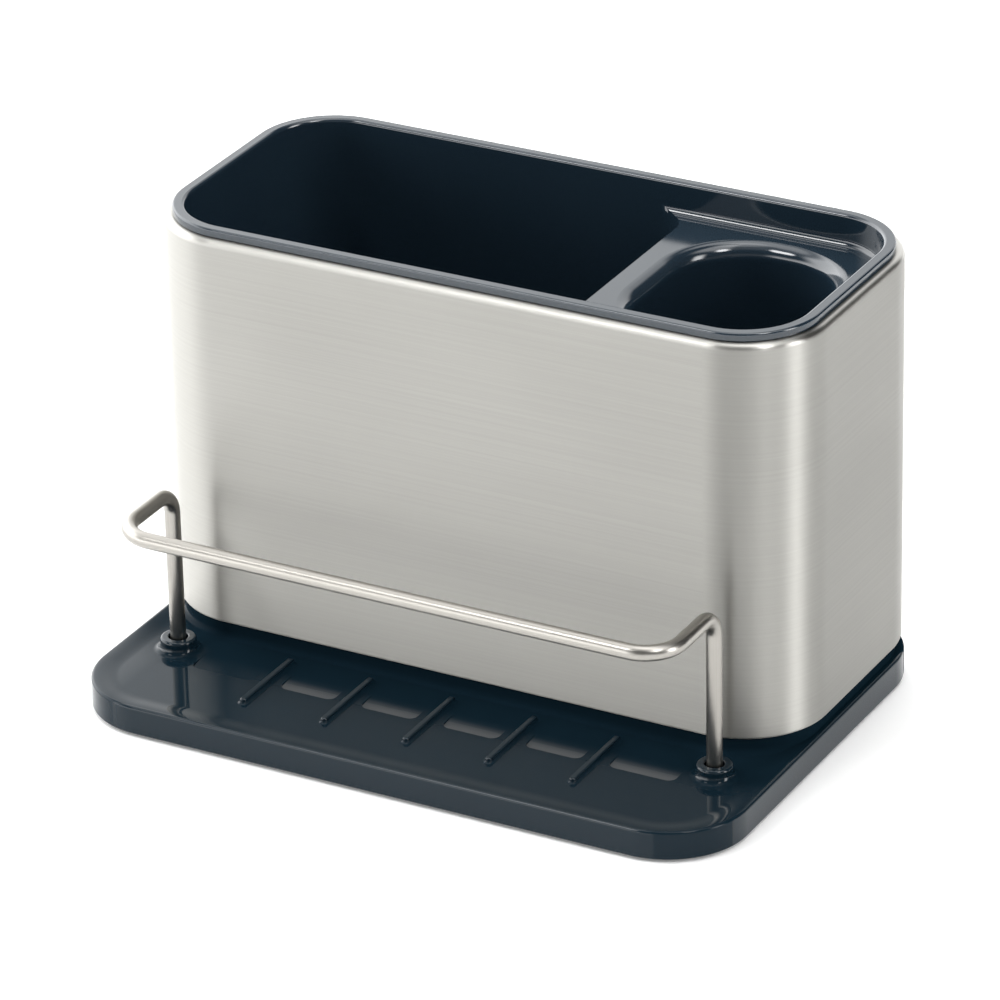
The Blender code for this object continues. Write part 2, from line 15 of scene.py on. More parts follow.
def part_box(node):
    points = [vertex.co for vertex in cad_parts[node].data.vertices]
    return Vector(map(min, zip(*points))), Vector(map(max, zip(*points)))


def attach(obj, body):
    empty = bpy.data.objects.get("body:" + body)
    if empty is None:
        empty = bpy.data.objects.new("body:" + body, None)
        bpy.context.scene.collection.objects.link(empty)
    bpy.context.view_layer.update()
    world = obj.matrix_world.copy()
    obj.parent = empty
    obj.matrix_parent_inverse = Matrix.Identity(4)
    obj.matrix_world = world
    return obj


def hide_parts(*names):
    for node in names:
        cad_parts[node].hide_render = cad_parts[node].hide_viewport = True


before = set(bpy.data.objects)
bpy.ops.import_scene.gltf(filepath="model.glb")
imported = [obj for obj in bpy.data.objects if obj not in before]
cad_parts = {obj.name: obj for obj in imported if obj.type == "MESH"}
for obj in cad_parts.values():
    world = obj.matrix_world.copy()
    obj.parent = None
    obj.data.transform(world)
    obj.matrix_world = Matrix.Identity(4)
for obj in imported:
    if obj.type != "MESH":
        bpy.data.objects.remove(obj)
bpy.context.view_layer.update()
tray_low, tray_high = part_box("base_tray")
sleeve_low, sleeve_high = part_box("steel_sleeve")
liner_low, liner_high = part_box("caddy_liner")
rail_low, rail_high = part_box("wire_rail")
FEET = ("foot_front_left", "foot_front_right", "foot_back_left", "foot_back_right")

# The camera, from the fit to the photograph
CAMERA_AZIMUTH = radians(28.819)
CAMERA_ELEVATION = radians(26.298)
CAMERA_ROLL = radians(-1.269)
CAMERA_PLACE = Vector((0.87048, -1.57866, 0.95929))
CAMERA_SENSOR = 36.0
CAMERA_CLIP = (0.1, 100.0)

# The focal length, in widths of the sensor
FOCAL_SHARE = 6.237435

# Fineness of the round shapes
CORNER_STEPS = 32
EDGE_STEPS = 6
FILLET_STEPS = 8
SMALL_CORNER_STEPS = 12
BEND_STEPS = 20
WIRE_STEPS = 40
SHARP_ANGLE = radians(40)
LEAST_RADIUS = 0.0002
SAME_POINT = 0.0000001

# How far a cutting body reaches past the solid, and a fillet's foot into it
OVERRUN = 0.002
ROOT_DEPTH = 0.0005

# Base tray
BASE_CORNER_RADIUS = 0.0275
TRAY_TOP = 0.0110
TRAY_EDGE_RADIUS = 0.0010
TRAY_UNDER_EDGE_RADIUS = 0.0005
TRAY_DISH_DEPTH = 0.0008
TRAY_DISH_WIDTH = 0.0080
TRAY_WALL = 0.0024
TRAY_ROOF = 0.0034
TRAY_FLAT = TRAY_TOP - TRAY_DISH_DEPTH
HOLLOW_BACK_RADIUS = 0.0030

# Plinth, upstand and reservoir
SHOULDER = 0.0154
PLINTH_FRONT_SETBACK = 0.0012
PLINTH_SIDE_SETBACK = 0.0026
PLINTH_FOOT_FILLET = 0.0022
PLINTH_EDGE_RADIUS = 0.0004
UPSTAND_INSET = 0.0049
UPSTAND_EDGE_RADIUS = 0.0005
RESERVOIR_INSET = 0.0071
RESERVOIR_FLOOR = 0.0028
RESERVOIR_FILLET = 0.0030

# Scoops beside the ribs
SCOOP_FROM_FRONT = 0.0338
SCOOP_LENGTH = 0.0124
SCOOP_DEPTH = 0.0008
SCOOP_END_RISE = 0.00006
SCOOP_RIB_MARGIN = 0.0050
OUTER_SCOOP_WIDTH = 0.0232
SCOOP_FRONT_RADIUS = 0.0030
SCOOP_EDGE_RADIUS = 0.0002
SCOOP_STEPS = 14

# The faces of a scoop whose normals rise more than this are its floor
FLOOR_LEAST_RISE = 0.9

# The hollow under the tray leaves a full roof under the scoops
HOLLOW_TOP = TRAY_FLAT - SCOOP_DEPTH - TRAY_ROOF

# Ribs
RIB_COUNT = 5
RIB_SPACING = 0.030
RIB_FROM_FRONT = 0.0190
RIB_LENGTH = 0.0320
RIB_WIDTH = 0.0023
RIB_HEIGHT = 0.0017
RIB_FOOT_FILLET = 0.0010
RIB_TOP_RADIUS = 0.0006
RIB_BACK_RADIUS = 0.0005
RIB_XS = [RIB_SPACING * (index - (RIB_COUNT - 1) / 2) for index in range(RIB_COUNT)]

# Sockets and rail
WIRE_RADIUS = 0.0026
SOCKET_PLAY = 0.0006
SOCKET_HEIGHT = 0.0046
SOCKET_WALL = 0.0028
SOCKET_FOOT_FILLET = 0.0025
SOCKET_TOP_RADIUS = 0.0010
SOCKET_MOUTH_BEVEL = 0.0005
SOCKET_BORE_RADIUS = WIRE_RADIUS + SOCKET_PLAY
SOCKET_DEPTH = 0.0098
SOCKET_BOSS_WALL = 0.0022
RAIL_POST_BEND = 0.0080
RAIL_CORNER_BEND = 0.0120
WIRE_END_RADIUS = 0.0006

# Feet, whose boxes come from the frame
FOOT_GAP = 0.0003
FOOT_BOSS_WALL = 0.0018

# Sleeve
SLEEVE_CORNER_RADIUS = 0.0290
SLEEVE_SHEET = 0.0008
SLEEVE_TOP_BEND = 0.0024
SLEEVE_TOP_LIP = 0.0050
SLEEVE_FOOT_BEND = 0.0012
SLEEVE_FOOT_LIP = 0.0045

# Caddy liner
RIM_SETBACK = 0.0028
RIM_HEIGHT = 0.0026
RIM_EDGE_RADIUS = 0.0008
MOUTH_RADIUS = 0.0012
LINER_OUTER_INSET = 0.0054
LINER_WALL = 0.0016
LINER_INNER_INSET = LINER_OUTER_INSET + LINER_WALL
LINER_FLOOR = 0.0020
LINER_FLOOR_FILLET = 0.0060
LINER_DRAFT = 0.0015
DECK_DROP = 0.0110
DECK_THICKNESS = 0.0020
DECK_FILLET = 0.0025
MAIN_WIDTH = 0.1437
MAIN_PARTITION_RADIUS = 0.0110
WELL_WIDTH = 0.0540
WELL_DEPTH = 0.0720
WELL_CORNER_RADIUS = 0.0250
WELL_LIP_RADIUS = 0.0052
WELL_DRAFT = 0.0010
LINER_DRAIN_WIDTH = 0.0036
LINER_DRAIN_LENGTH = 0.0180
LINER_DRAIN_SPACING = 0.0300
MAIN_DRAIN_COUNT = 4
WELL_DRAIN_COUNT = 1
DECK_TOP = liner_high.z - DECK_DROP
DECK_BOTTOM = DECK_TOP - DECK_THICKNESS
LINER_FLOOR_TOP = liner_low.z + LINER_FLOOR

# How far the main compartment's wall stands inside the recess's, so that they don't coincide
MAIN_STEP = 0.00002

# Where the arcs of the lips stop, in degrees: short of the top, which is at 90
DECK_LIP_STOP = 94
DECK_LIP_BACK_STOP = 110
MOUTH_LIP_STOP = 96

# Noise textures: scale, detail and roughness
MOTTLE = (45.0, 4.0)
GRAIN = (900.0, 3.0)
WOBBLE = (130.0, 1.0)
SCRATCHES = (1.0, 3.0, 0.7)
SATIN_GRAIN = (3500.0, 2.0)
SATIN_MOTTLE = (60.0, 3.0)
FINE_STREAKS = (1.0, 4.0, 0.65)
BROAD_STREAKS = (1.0, 3.0)
CLOUD = (1.0, 2.0)
RUBBER_GRAIN = (2600.0, 3.0)
RUBBER_DUST = (300.0, 3.0)
NOISE_MIDDLE = (0.3, 0.7)

# Moulded plastic: bump depths in metres, and scratches drawn out along x
GRAIN_DEPTH = 0.0000006
WOBBLE_DEPTH = 0.000004
SCRATCH_SCALES = (70.0, 1400.0, 900.0)
SCRATCH_RANGE = (0.62, 0.74)
SCRATCH_DULLING = 0.03
PLASTIC_IOR = 1.5

# The tray's and the caddy's plastic: two colours, least and most roughness, and shine
TRAY_COLOURS = ((0.0044, 0.0125, 0.0195), (0.0052, 0.0140, 0.0220))
TRAY_ROUGHNESS = (0.05, 0.08)
TRAY_FLAT_SHINE = 0.14
TRAY_EDGE_SHINE = 0.36
CADDY_COLOURS = ((0.0105, 0.0210, 0.0320), (0.0120, 0.0235, 0.0355))
CADDY_ROUGHNESS = (0.09, 0.13)
CADDY_SHINE = 0.80

# Where the tray's edges shine: its outer edge, less so below the brim at the front, and
# what stands up before the plinth. The distances are from the tray's top and the plinth.
SHINE_MARGIN = 0.0004
BRIM_BOTTOM = 0.0012
BRIM_TOP = 0.0008
BRIM_SHARE = 0.45
RAISED_FROM = 0.00005
RAISED_FULLY = 0.0003
RAISED_CLEAR = 0.0040
RAISED_NEAR = 0.0025

# Where the tray's flat shines: distances before the plinth, and the band at its left
FLAT_SHINE_FROM = 0.0290
FLAT_SHINE_TO = 0.0130
LEFT_SHARE = 0.8
LEFT_SHINE_WIDTH = 0.0320
LEFT_SHINE_DEPTH = 0.0300
LEFT_SHINE_LEAST = 0.1

# The satin front of each scoop and its painted sheen, whose ends are measured from its front edge
SATIN_AND_SHEEN_FROM = 0.0015
SATIN_AND_SHEEN_TO = 0.0078
# Painted sheen: a pale colour on each scoop's front that fades out towards its back
PAINTED_SHEEN_COLOUR = (0.070, 0.074, 0.077)
PAINTED_SHEEN_LIGHTENING = 1.1
SATIN_ROUGHNESS = (0.42, 0.50)
SATIN_DEPTH = 0.000004

# Brushed steel: what the streaks and the clouds add to its tone and its roughness
UV_NAME = "along and across"
BROADENING = 5
FINE_SHARE = 0.6
BROAD_SHARE = 0.4
LINE_ROUGHNESS = 0.08
CLOUD_SCALES = (9.0, 14.0, 1.0)
CLOUD_ROUGHNESS = 0.02
QUARTER_TURN = 0.25

# The sleeve's sheet and the rail's wire: two colours, scales of the streaks, and bump depth
SHEET_COLOURS = ((0.430, 0.424, 0.400), (0.372, 0.367, 0.346))
SHEET_STREAKS = (12.0, 5200.0, 1.0)
SHEET_ROUGHNESS = 0.50
SHEET_ANISOTROPY = 0.87
SHEET_DEPTH = 0.0000008
WIRE_COLOURS = ((0.41, 0.394, 0.366), (0.32, 0.307, 0.282))
WIRE_STREAKS = (10.0, 4200.0, 1.0)
WIRE_ROUGHNESS = 0.32
WIRE_ANISOTROPY = 0.35
WIRE_DEPTH = 0.0000010

# The sheet is smoother on its rolled edge, and rougher where it faces front or back
ROLL_FADE = 0.0018
ROLL_SMOOTHING = 0.42
FACING_RANGE = (0.05, 0.35)
FACING_ROUGHNESS = 0.08

# Rubber
RUBBER_COLOURS = ((0.018, 0.018, 0.019), (0.034, 0.034, 0.034))
RUBBER_GRAIN_RANGE = (0.2, 0.8)
RUBBER_ROUGHNESS = (0.62, 0.82)
RUBBER_GRAIN_DEPTH = 0.00002

# Studio: angles in degrees
TO_DEGREES = 180 / pi
WHITE = (1.0, 1.0, 1.0, 1.0)
FLOOR_SIZE = 9.0
FLOOR_COLOUR = (0.94, 0.94, 0.94, 1.0)
FLOOR_GLOW = 0.14
FLOOR_NOISE_SCALE = 3.0
FLOOR_ROUGHNESS = (0.9, 1.0)
WORLD_LEVEL = 0.06
OVERHEAD_RISE = (45.0, 60.0)
ZENITH_RISE = (68.0, 80.0)
ZENITH_STRENGTH = 1.6
RING_SOFTNESS = 7.0

# Soft lights overhead: from and to azimuth, softness, strength
OVERHEAD = (
    (-200.0, -75.0, 20.0, 2.3),
    (-75.0, 50.0, 20.0, 0.5),
    (50.0, 126.0, 12.0, 2.6),
    (170.0, 200.0, 8.0, 2.3),
)

# Upright soft lights around the object: from and to azimuth, softness, top, strength
RING = (
    (-138.0, -62.0, 16.0, 46.0, 4.2),
    (-62.0, -14.0, 13.0, 20.0, 3.9),
    (-14.0, 60.0, 13.0, 20.0, 0.35),
    (-200.0, -138.0, 8.0, 40.0, 1.65),
    (84.0, 100.0, 5.0, 35.0, 7.8),
    (168.0, 200.0, 8.0, 40.0, 1.65),
)

# Small round lights: azimuth, elevation, radius, strength
LAMPS = (
    (-35.0, 50.0, 9.0, 13.0),
    (60.0, 50.0, 9.0, 13.0),
)


class Outline:
    """A rectangle with rounded corners, seen from above, that can grow or shrink."""

    def __init__(self, left, right, front, back, radii, steps=CORNER_STEPS):
        """The radii run anticlockwise, from the front right corner to the front left one."""
        self.left, self.right = left, right
        self.front, self.back = front, back
        self.radii = radii
        self.steps = steps

    def corner_points(self, amount):
        corners = (
            (self.right + amount, self.front - amount, -1, 1, -90),
            (self.right + amount, self.back + amount, -1, -1, 0),
            (self.left - amount, self.back + amount, 1, -1, 90),
            (self.left - amount, self.front - amount, 1, 1, 180),
        )
        points = []
        for (x, y, towards_x, towards_y, start), radius in zip(corners, self.radii):
            reach = max(radius + amount, LEAST_RADIUS)
            for step in range(self.steps + 1):
                angle = radians(start + 90 * step / self.steps)
                across = x + towards_x * reach + reach * cos(angle)
                along = y + towards_y * reach + reach * sin(angle)
                points.append(Vector((across, along)))
        return points

    def points(self, amount=0.0):
        """The grown outline, without the doubled points where two arcs meet."""
        plain = self.corner_points(0.0)
        grown = self.corner_points(amount)
        previous = plain[-1:] + plain[:-1]
        return [
            point for point, here, before in zip(grown, plain, previous)
            if (here - before).length > SAME_POINT
        ]

    def shrunk(self, amount):
        """The same outline moved inwards on every side."""
        radii = [max(radius - amount, LEAST_RADIUS) for radius in self.radii]
        return Outline(self.left + amount, self.right - amount, self.front + amount,
                       self.back - amount, radii, self.steps)


def disc(x, y, radius, steps=SMALL_CORNER_STEPS):
    """A circle as an outline whose four corners meet."""
    return Outline(x - radius, x + radius, y - radius, y + radius, [radius] * 4, steps)


def arc(centre, height, radius, start, stop, steps=EDGE_STEPS):
    """Profile points on part of a circle: offset from the outline, and height."""
    points = []
    for step in range(steps + 1):
        angle = radians(start + (stop - start) * step / steps)
        points.append((centre + radius * cos(angle), height + radius * sin(angle)))
    return points


def stack(outline, profile):
    """One ring of points for each offset and height of a profile."""
    return [[(x, y, height) for x, y in outline.points(offset)] for offset, height in profile]


def add_loft(mesh_data, rings, closed=False):
    """Skins the rings, which have one point count, into a closed body."""
    loops = [[mesh_data.verts.new(point) for point in ring] for ring in rings]
    pairs = list(zip(loops, loops[1:]))
    faces = []
    if closed:
        pairs.append((loops[-1], loops[0]))
    else:
        faces.append(mesh_data.faces.new(loops[0]))
        faces.append(mesh_data.faces.new(loops[-1]))
    for low, high in pairs:
        for index in range(len(low)):
            following = (index + 1) % len(low)
            corners = (low[index], low[following], high[following], high[index])
            faces.append(mesh_data.faces.new(corners))
    bmesh.ops.recalc_face_normals(mesh_data, faces=faces)


def finish_mesh(name, mesh_data):
    """Turns the built bodies into an object in the scene."""
    mesh = bpy.data.meshes.new(name)
    mesh_data.to_mesh(mesh)
    mesh_data.free()
    item = bpy.data.objects.new(name, mesh)
    bpy.context.scene.collection.objects.link(item)
    return item


def lofted(name, *bodies):
    """Closed bodies that don't touch, in one object."""
    mesh_data = bmesh.new()
    for rings in bodies:
        add_loft(mesh_data, rings)
    return finish_mesh(name, mesh_data)


def combine(target, guide, operation):
    """Joins or cuts a guide solid."""
    modifier = target.modifiers.new(guide.name, "BOOLEAN")
    modifier.operation = operation
    modifier.solver = "EXACT"
    modifier.object = guide


def settle(item):
    """Applies the modifiers, removes the guides and smooths the rounded edges only."""
    guides = [modifier.object for modifier in item.modifiers]
    smooth_edges(apply_modifiers(item))
    for guide in guides:
        bpy.data.objects.remove(guide)
    item.modifiers.new("even shading", "WEIGHTED_NORMAL").keep_sharp = True
    apply_modifiers(item)


def apply_modifiers(item):
    graph = bpy.context.evaluated_depsgraph_get()
    mesh = bpy.data.meshes.new_from_object(item.evaluated_get(graph), depsgraph=graph)
    item.modifiers.clear()
    item.data = mesh
    return mesh


def smooth_edges(mesh):
    mesh.shade_smooth()
    mesh.set_sharp_from_angle(angle=SHARP_ANGLE)


def base_outline():
    return Outline(tray_low.x, tray_high.x, tray_low.y, tray_high.y, [BASE_CORNER_RADIUS] * 4)


def sleeve_outline():
    return Outline(sleeve_low.x, sleeve_high.x, sleeve_low.y, sleeve_high.y,
                   [SLEEVE_CORNER_RADIUS] * 4)


def plinth_outline():
    sleeve = sleeve_outline()
    side = PLINTH_SIDE_SETBACK
    front = sleeve.front + PLINTH_FRONT_SETBACK
    return Outline(sleeve.left + side, sleeve.right - side, front, sleeve.back - side,
                   [SLEEVE_CORNER_RADIUS - side] * 4)


def foot_discs(gap):
    """The outline of each foot, by the foot's name, grown by a gap."""
    discs = {}
    for name in FEET:
        low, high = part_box(name)
        middle = (low + high) / 2
        discs[name] = disc(middle.x, middle.y, (high.x - low.x) / 2 + gap)
    return discs


def tray_slab():
    """The outer skin of the base, with its rounded rim and shallow dish."""
    under = TRAY_UNDER_EDGE_RADIUS
    edge = TRAY_EDGE_RADIUS
    profile = arc(-under, tray_low.z + under, under, -90, 0)
    profile += arc(-edge, TRAY_TOP - edge, edge, 0, 90)
    for step in range(1, FILLET_STEPS + 1):
        share = step / FILLET_STEPS
        fall = TRAY_DISH_DEPTH * (1 - cos(pi * share)) / 2
        profile.append((-edge - TRAY_DISH_WIDTH * share, TRAY_TOP - fall))
    return lofted("drip_tray", stack(base_outline(), profile))


def plinth():
    fillet = PLINTH_FOOT_FILLET
    edge = PLINTH_EDGE_RADIUS
    foot = [(fillet, TRAY_FLAT - ROOT_DEPTH)]
    foot += arc(fillet, TRAY_FLAT + fillet, fillet, 270, 180, FILLET_STEPS)
    foot += arc(-edge, SHOULDER - edge, edge, 0, 90)
    top_edge = UPSTAND_EDGE_RADIUS
    wall = [(0.0, SHOULDER)]
    wall += arc(-top_edge, tray_high.z - top_edge, top_edge, 0, 90)
    inner = sleeve_outline().shrunk(UPSTAND_INSET)
    return lofted("plinth_guide", stack(plinth_outline(), foot) + stack(inner, wall))


def reservoir():
    fillet = RESERVOIR_FILLET
    profile = arc(-fillet, tray_low.z + RESERVOIR_FLOOR + fillet, fillet, -90, 0, FILLET_STEPS)
    profile.append((0.0, tray_high.z + OVERRUN))
    outline = sleeve_outline().shrunk(RESERVOIR_INSET)
    return lofted("reservoir_guide", stack(outline, profile))


def front_hollow():
    tray = base_outline().shrunk(TRAY_WALL)
    back = sleeve_low.y + RESERVOIR_INSET - TRAY_WALL
    front_radius = tray.radii[0]
    radii = [front_radius, HOLLOW_BACK_RADIUS, HOLLOW_BACK_RADIUS, front_radius]
    outline = Outline(tray.left, tray.right, tray.front, back, radii)
    profile = [(0.0, tray_low.z - OVERRUN), (0.0, HOLLOW_TOP)]
    return lofted("hollow_guide", stack(outline, profile))


def ribs():
    front = tray_low.y + RIB_FROM_FRONT
    half = RIB_WIDTH / 2
    rear = RIB_BACK_RADIUS
    fillet = RIB_FOOT_FILLET
    top = RIB_TOP_RADIUS
    profile = [(fillet, TRAY_FLAT - ROOT_DEPTH)]
    profile += arc(fillet, TRAY_FLAT + fillet, fillet, 270, 180)
    profile += arc(-top, TRAY_FLAT + RIB_HEIGHT - top, top, 0, 90)
    radii = [half, rear, rear, half]
    bodies = []
    for x in RIB_XS:
        outline = Outline(x - half, x + half, front, front + RIB_LENGTH, radii,
                          SMALL_CORNER_STEPS)
        bodies.append(stack(outline, profile))
    return lofted("rib_guide", *bodies)


def at_posts(radius, profile):
    """A round body on each post's line."""
    half_span = rail_high.x - WIRE_RADIUS
    post_y = rail_high.y - WIRE_RADIUS
    return [stack(disc(x, post_y, radius), profile) for x in (-half_span, half_span)]


def socket_collars():
    fillet = SOCKET_FOOT_FILLET
    top = SOCKET_TOP_RADIUS
    profile = [(fillet, TRAY_FLAT - ROOT_DEPTH)]
    profile += arc(fillet, TRAY_FLAT + fillet, fillet, 270, 180, FILLET_STEPS)
    profile += arc(-top, TRAY_FLAT + SOCKET_HEIGHT - top, top, 0, 90)
    return lofted("collar_guide", *at_posts(SOCKET_BORE_RADIUS + SOCKET_WALL, profile))


def socket_bosses():
    bottom = TRAY_FLAT + SOCKET_HEIGHT - SOCKET_DEPTH - SOCKET_BOSS_WALL
    profile = [(0.0, bottom), (0.0, HOLLOW_TOP + TRAY_ROOF / 2)]
    return lofted("boss_guide", *at_posts(SOCKET_BORE_RADIUS + SOCKET_BOSS_WALL, profile))


def socket_bores():
    bevel = SOCKET_MOUTH_BEVEL
    top = TRAY_FLAT + SOCKET_HEIGHT
    profile = [(0.0, top - SOCKET_DEPTH)]
    profile += arc(bevel, top - bevel, bevel, 180, 90)
    profile.append((bevel, top + OVERRUN))
    return lofted("bore_guide", *at_posts(SOCKET_BORE_RADIUS, profile))


def foot_bosses():
    profile = [(0.0, tray_low.z), (0.0, HOLLOW_TOP + TRAY_ROOF / 2)]
    discs = foot_discs(FOOT_GAP + FOOT_BOSS_WALL)
    fronts = [discs[name] for name in FEET if "front" in name]
    return lofted("foot_boss_guide", *[stack(outline, profile) for outline in fronts])


def foot_recesses():
    foot_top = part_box(FEET[0])[1].z
    profile = [(0.0, tray_low.z - OVERRUN), (0.0, foot_top + FOOT_GAP)]
    outlines = foot_discs(FOOT_GAP).values()
    return lofted("foot_recess_guide", *[stack(outline, profile) for outline in outlines])


def scoop_spans():
    """Left and right edge of each scoop: those between two ribs, then the outer two."""
    rights = [x - SCOOP_RIB_MARGIN for x in RIB_XS[1:]]
    lefts = [x + SCOOP_RIB_MARGIN for x in RIB_XS[:-1]]
    outer = RIB_XS[-1] + SCOOP_RIB_MARGIN
    spans = list(zip(lefts, rights))
    return spans + [(outer, outer + OUTER_SCOOP_WIDTH), (-outer - OUTER_SCOOP_WIDTH, -outer)]


def scoop_floor(along):
    """Height of a scoop's floor at a distance behind its front edge."""
    rest_share = 1 - sin(pi / 2 * along / SCOOP_LENGTH)
    return TRAY_FLAT + SCOOP_END_RISE - (SCOOP_DEPTH + SCOOP_END_RISE) * rest_share


def scoop_ring(left, right, y, floor):
    """An upright cross-section whose sides turn outwards at the top."""
    edge = SCOOP_EDGE_RADIUS
    side = [(offset, max(height, floor + height - TRAY_FLAT + edge))
            for offset, height in arc(edge, TRAY_FLAT - edge, edge, 180, 90)]
    side.append((edge, TRAY_FLAT + OVERRUN))
    ring = [(left, y, floor)] + [(left - offset, y, height) for offset, height in side]
    ring += [(right + offset, y, height) for offset, height in reversed(side)]
    return ring + [(right, y, floor)]


def scoops():
    """Each is a row of cross-sections, from its rounded front corners to its end."""
    radius = SCOOP_FRONT_RADIUS
    straight = SCOOP_LENGTH - radius
    places = arc(radius, radius, radius, 270, 180, SMALL_CORNER_STEPS)
    for step in range(1, SCOOP_STEPS + 1):
        places.append((0.0, radius + straight * step / SCOOP_STEPS))
    front = tray_low.y + SCOOP_FROM_FRONT
    bodies = []
    for left, right in scoop_spans():
        bodies.append([
            scoop_ring(left + inset, right - inset, front + along, scoop_floor(along))
            for inset, along in places
        ])
    return lofted("scoop_guide", *bodies)


def make_tray():
    tray = tray_slab()
    combine(tray, plinth(), "UNION")
    combine(tray, ribs(), "UNION")
    combine(tray, socket_collars(), "UNION")
    combine(tray, front_hollow(), "DIFFERENCE")
    combine(tray, foot_bosses(), "UNION")
    combine(tray, socket_bosses(), "UNION")
    combine(tray, reservoir(), "DIFFERENCE")
    combine(tray, scoops(), "DIFFERENCE")
    combine(tray, foot_recesses(), "DIFFERENCE")
    combine(tray, socket_bores(), "DIFFERENCE")
    settle(tray)
    return tray


def main_outline():
    """Inside of the main compartment at its mouth."""
    mouth = sleeve_outline().shrunk(LINER_INNER_INSET + MAIN_STEP)
    side = MAIN_PARTITION_RADIUS
    _, _, back_left, front_left = mouth.radii
    return Outline(mouth.left, mouth.left + MAIN_WIDTH, mouth.front, mouth.back,
                   [side, side, back_left, front_left])


def well_outline():
    """Inside of the bottle well, in the middle of the deck."""
    mouth = sleeve_outline().shrunk(LINER_INNER_INSET)
    across = (main_outline().right + mouth.right) / 2
    along = (mouth.front + mouth.back) / 2
    return Outline(across - WELL_WIDTH / 2, across + WELL_WIDTH / 2, along - WELL_DEPTH / 2,
                   along + WELL_DEPTH / 2, [WELL_CORNER_RADIUS] * 4)


def liner_rim():
    """The flange that hangs on the sleeve, over the band that drops to the deck."""
    flange = LINER_OUTER_INSET - RIM_SETBACK
    edge = RIM_EDGE_RADIUS
    bottom = liner_high.z - RIM_HEIGHT
    profile = [(0.0, DECK_BOTTOM), (0.0, bottom), (flange, bottom)]
    profile += arc(flange - edge, liner_high.z - edge, edge, 0, 90)
    return lofted("caddy", stack(sleeve_outline().shrunk(LINER_OUTER_INSET), profile))


def tub_profile(wall, draft, bottom, top):
    """A drafted wall with a rounded floor edge, whose offsets are from the mouth's inside."""
    fillet = LINER_FLOOR_FILLET + wall
    profile = arc(wall - draft - fillet, bottom + fillet, fillet, -90, 0, FILLET_STEPS)
    profile.append((wall, top))
    return profile


def main_tub():
    top = DECK_BOTTOM + DECK_THICKNESS / 2
    profile = tub_profile(LINER_WALL, LINER_DRAFT, liner_low.z, top)
    return lofted("main_tub_guide", stack(main_outline(), profile))


def main_cavity():
    profile = tub_profile(0.0, LINER_DRAFT, LINER_FLOOR_TOP, DECK_BOTTOM)
    profile.append((0.0, liner_high.z + OVERRUN))
    return lofted("main_cavity_guide", stack(main_outline(), profile))


def well_tub():
    """The well's wall, flared under the deck to back the rounded lip."""
    lip = WELL_LIP_RADIUS
    top = DECK_TOP - lip - DECK_THICKNESS
    profile = tub_profile(LINER_WALL, WELL_DRAFT, liner_low.z, top)
    back = lip - LINER_WALL
    profile += arc(lip, DECK_TOP - lip, back, 180, DECK_LIP_BACK_STOP, FILLET_STEPS)
    profile.append((profile[-1][0], DECK_BOTTOM + DECK_THICKNESS / 2))
    return lofted("well_tub_guide", stack(well_outline(), profile))


def well_cavity():
    """The well's inside, opening into the deck with a rounded lip."""
    lip = WELL_LIP_RADIUS
    top = DECK_TOP - lip - DECK_THICKNESS
    profile = tub_profile(0.0, WELL_DRAFT, LINER_FLOOR_TOP, top)
    profile += arc(lip, DECK_TOP - lip, lip, 180, DECK_LIP_STOP, 2 * FILLET_STEPS)
    profile.append((profile[-1][0], DECK_TOP + OVERRUN))
    return lofted("well_cavity_guide", stack(well_outline(), profile))


def deck_recess():
    """The open space above the deck, with its rounded foot and mouth."""
    fillet = DECK_FILLET
    mouth = MOUTH_RADIUS
    profile = arc(-fillet, DECK_TOP + fillet, fillet, -90, 0, FILLET_STEPS)
    profile += arc(mouth, liner_high.z - mouth, mouth, 180, MOUTH_LIP_STOP)
    profile.append((profile[-1][0], liner_high.z + OVERRUN))
    return lofted("deck_guide", stack(sleeve_outline().shrunk(LINER_INNER_INSET), profile))


def liner_drains():
    """Rows of narrow slots through the floors of both compartments."""
    half_width = LINER_DRAIN_WIDTH / 2
    half_length = LINER_DRAIN_LENGTH / 2
    profile = [(0.0, liner_low.z - OVERRUN), (0.0, LINER_FLOOR_TOP + OVERRUN)]
    middle_y = (sleeve_low.y + sleeve_high.y) / 2
    bodies = []
    spaces = (main_outline(), MAIN_DRAIN_COUNT), (well_outline(), WELL_DRAIN_COUNT)
    for space, count in spaces:
        middle = (space.left + space.right) / 2
        for index in range(count):
            x = middle + LINER_DRAIN_SPACING * (index - (count - 1) / 2)
            for side in (-1, 1):
                y = middle_y + side * LINER_DRAIN_LENGTH
                outline = Outline(x - half_width, x + half_width, y - half_length,
                                  y + half_length, [half_width] * 4, SMALL_CORNER_STEPS)
                bodies.append(stack(outline, profile))
    return lofted("liner_drain_guide", *bodies)


def make_liner():
    liner = liner_rim()
    combine(liner, main_tub(), "UNION")
    combine(liner, well_tub(), "UNION")
    combine(liner, deck_recess(), "DIFFERENCE")
    combine(liner, main_cavity(), "DIFFERENCE")
    combine(liner, well_cavity(), "DIFFERENCE")
    combine(liner, liner_drains(), "DIFFERENCE")
    settle(liner)
    return liner


def unwrap_grid(item, rings):
    """Lays the rings out flat in metres: along each ring, and from ring to ring."""
    mesh = item.data
    layer = mesh.uv_layers.new(name=UV_NAME)
    around = len(rings[0])
    along = lengths(rings[0])
    across = lengths([ring[0] for ring in rings])
    for face in mesh.polygons:
        columns = [index % around for index in face.vertices]
        rows = [index // around for index in face.vertices]
        wraps = max(columns) - min(columns) > 1
        closes = max(rows) - min(rows) > 1
        for loop, column, row in zip(face.loop_indices, columns, rows):
            u = along[around] if wraps and column == 0 else along[column]
            v = across[len(rings)] if closes and row == 0 else across[row]
            layer.data[loop].uv = (u, v)


def lengths(points):
    """Distance from the first point to each point, and once round back to it."""
    total = 0.0
    found = [total]
    for here, following in zip(points, points[1:] + points[:1]):
        total += (Vector(following) - Vector(here)).length
        found.append(total)
    return found


